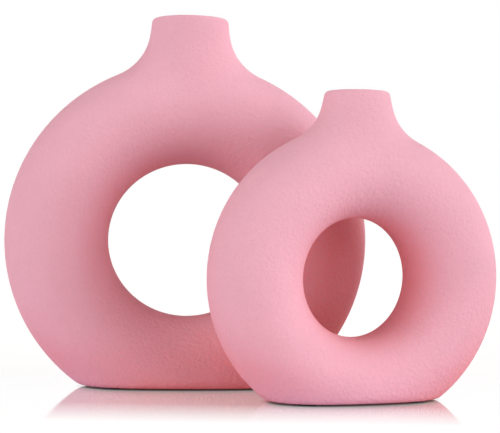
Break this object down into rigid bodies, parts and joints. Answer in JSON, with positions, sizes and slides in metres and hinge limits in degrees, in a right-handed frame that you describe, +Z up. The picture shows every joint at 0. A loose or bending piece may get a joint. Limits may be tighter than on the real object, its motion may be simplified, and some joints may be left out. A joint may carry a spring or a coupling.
{
  "type": "donut vase set",
  "caption": "Matched donut vases in matt pink ceramic, a large one behind a small one: hollow oval rings with a flat padded base, an open centre and a short flared neck for stems.",
  "frame": {"origin": "floor under the middle of the set's outline", "axes": "+X to the right along the large vase's ring, +Y from its front to its back, +Z up"},
  "size_m": [0.3204, 0.1628, 0.25],
  "materials": {
    "matt_clay": "matt, fine grain",
    "inner_glaze": "gloss",
    "foot_pad": "matt"
  },
  "bodies": {
    "large_vase": {"large_vase_body": "matt_clay", "large_inner_glaze": "inner_glaze", "large_foot_pad_front_left": "foot_pad", "large_foot_pad_front_right": "foot_pad", "large_foot_pad_back_left": "foot_pad", "large_foot_pad_back_right": "foot_pad"},
    "small_vase": {"small_vase_body": "matt_clay", "small_inner_glaze": "inner_glaze", "small_foot_pad_front_left": "foot_pad", "small_foot_pad_front_right": "foot_pad", "small_foot_pad_back_left": "foot_pad", "small_foot_pad_back_right": "foot_pad"}
  },
  "joints": [
    {"name": "small_vase_lift", "type": "slide", "parent": "large_vase", "child": "small_vase", "axis": [0, 0, 1], "range_m": [0, 0.26]}
  ]
}
